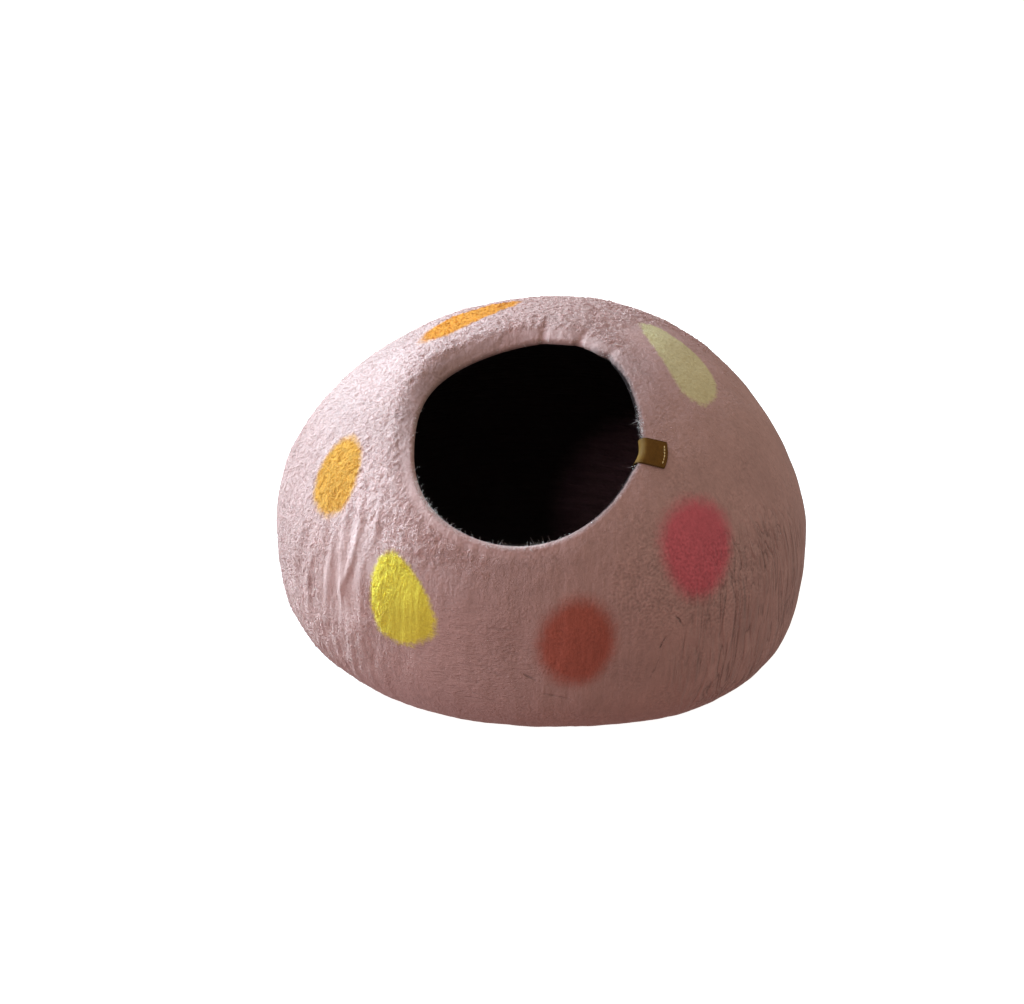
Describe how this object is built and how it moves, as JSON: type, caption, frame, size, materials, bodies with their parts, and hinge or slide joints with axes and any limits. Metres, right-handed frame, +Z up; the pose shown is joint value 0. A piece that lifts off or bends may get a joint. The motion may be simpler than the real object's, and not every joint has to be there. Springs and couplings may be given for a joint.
{
  "type": "felt cat cave",
  "caption": "Round hollow cat cave of thick felt with a flat foot, a tilted round opening with a rolled edge, felted spots and a small leather tag.",
  "frame": {"origin": "on the floor, under the middle of the whole object's box", "axes": "+Z up, the opening faces -Y and upwards, +X is to its right as a viewer in front of it sees it"},
  "size_m": [0.4744, 0.4616, 0.3217],
  "materials": {
    "felt": "matte wool felt with a short nubbly pile",
    "leather": "smooth brown leather, slightly worn"
  },
  "bodies": {
    "root": {"shell": "felt", "tag": "leather"}
  },
  "joints": []
}
